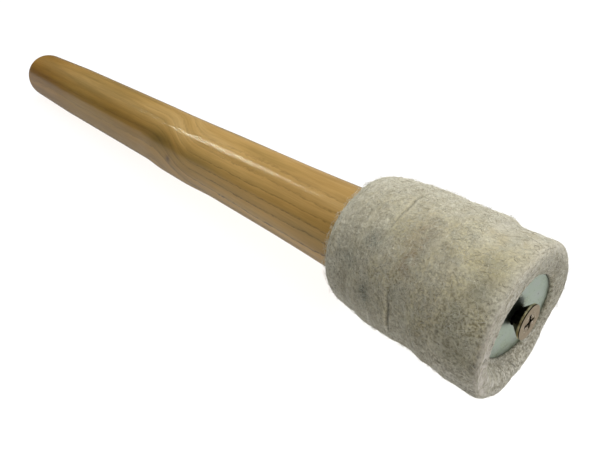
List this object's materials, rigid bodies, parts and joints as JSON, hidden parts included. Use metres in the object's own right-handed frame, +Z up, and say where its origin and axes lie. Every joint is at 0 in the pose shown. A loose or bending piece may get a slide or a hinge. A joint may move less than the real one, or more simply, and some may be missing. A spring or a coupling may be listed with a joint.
{
  "type": "felt polishing stick",
  "caption": "Hand polishing stick: a thick cylindrical wool felt head on a round ash handle, clamped by a wood screw and a wide washer bedded in its flat front face.",
  "frame": {"origin": "centre of the felt head's flat front face, on the handle's axis", "axes": "+X out of the front face along the handle's axis, the handle running towards -X; +Z up as the stick lies on a bench"},
  "size_m": [0.312, 0.0441, 0.0444],
  "materials": {
    "ash_wood": "clear lacquer, gloss",
    "wool_felt": "matt, undyed pressed wool",
    "zinc_plate": "bright zinc plating with a pale blue-green passivation",
    "screw_steel": "plated, slightly yellow"
  },
  "bodies": {
    "root": {"handle": "ash_wood", "front_felt_disc": "wool_felt", "felt_ring_1": "wool_felt", "felt_ring_2": "wool_felt", "felt_ring_3": "wool_felt", "felt_ring_4": "wool_felt", "felt_ring_5": "wool_felt", "felt_ring_6": "wool_felt", "penny_washer": "zinc_plate", "clamp_screw": "screw_steel"}
  },
  "joints": []
}
